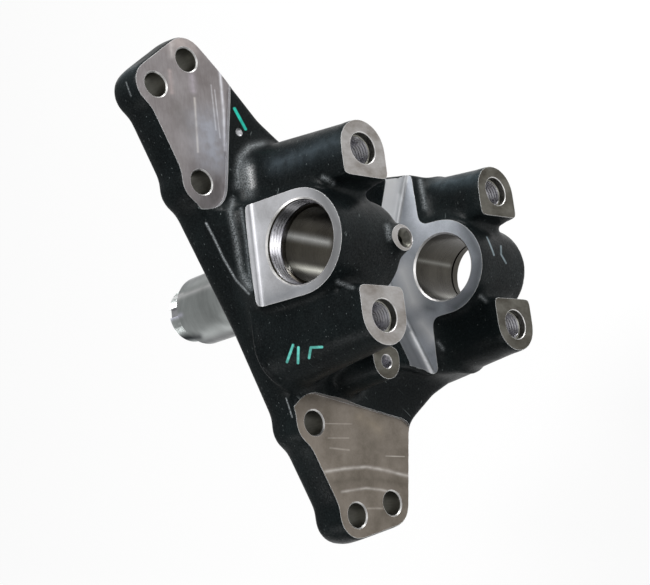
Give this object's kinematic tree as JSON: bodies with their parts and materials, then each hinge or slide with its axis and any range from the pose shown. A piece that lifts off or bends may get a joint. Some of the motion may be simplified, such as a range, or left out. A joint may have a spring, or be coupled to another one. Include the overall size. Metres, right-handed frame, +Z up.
{
  "type": "steering knuckle",
  "caption": "Forged steering knuckle with a wheel spindle, two kingpin bosses and two drilled flange arms.",
  "frame": {"origin": "where the kingpin axis crosses the spindle axis", "axes": "+Y out along the spindle, +Z up towards the upper kingpin boss, +X along the vehicle"},
  "size_m": [0.3934, 0.2737, 0.3404],
  "materials": {
    "forging": "gloss black paint on the rough forging, bare machined steel on faces, bores and spindle"
  },
  "bodies": {
    "root": {"steering_knuckle": "forging"}
  },
  "joints": []
}
